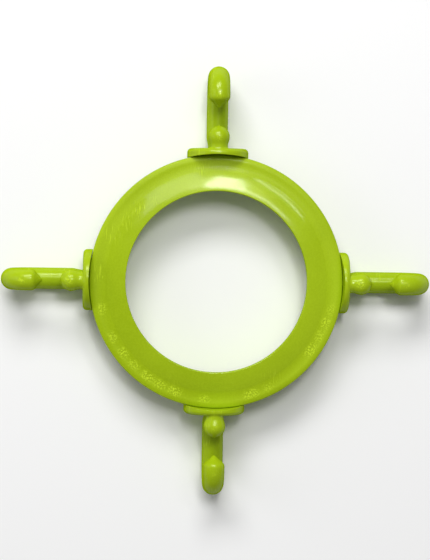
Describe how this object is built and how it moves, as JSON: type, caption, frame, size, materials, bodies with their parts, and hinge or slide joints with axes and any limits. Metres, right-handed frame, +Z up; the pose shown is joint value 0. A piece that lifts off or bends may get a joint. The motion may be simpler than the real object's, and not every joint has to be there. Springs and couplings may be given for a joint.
{
  "type": "traffic cone chain collar",
  "caption": "Moulded plastic collar that drops over the top of a traffic cone, with swivelling C-shaped hooks round its rim that take plastic barrier chain.",
  "frame": {"origin": "on the ring's axis, in the plane of the hooks' stem axes", "axes": "+Z up along the ring's axis, the side the hooks open to; +X through hook_right and +Y through hook_rear"},
  "size_m": [0.164, 0.164, 0.0234],
  "materials": {
    "ring_plastic": "glossy lime green polyethylene, lightly scuffed",
    "hook_plastic": "glossy lime green polyethylene"
  },
  "bodies": {
    "collar": {"ring": "ring_plastic"},
    "hook_right": {"hook_right": "hook_plastic"},
    "hook_rear": {"hook_rear": "hook_plastic"},
    "hook_left": {"hook_left": "hook_plastic"},
    "hook_front": {"hook_front": "hook_plastic"}
  },
  "joints": [
    {"name": "hook_right_swivel", "type": "hinge", "parent": "collar", "child": "hook_right", "pos_m": [0.0483, 0, 0], "axis": [1, 0, 0], "range_deg": [-5, 5]},
    {"name": "hook_rear_swivel", "type": "hinge", "parent": "collar", "child": "hook_rear", "pos_m": [0, 0.0483, 0], "axis": [0, 1, 0], "range_deg": [-5, 5]},
    {"name": "hook_left_swivel", "type": "hinge", "parent": "collar", "child": "hook_left", "pos_m": [-0.0483, 0, 0], "axis": [-1, 0, 0], "range_deg": [-5, 5]},
    {"name": "hook_front_swivel", "type": "hinge", "parent": "collar", "child": "hook_front", "pos_m": [0, -0.0483, 0], "axis": [0, -1, 0], "range_deg": [-5, 5]}
  ]
}
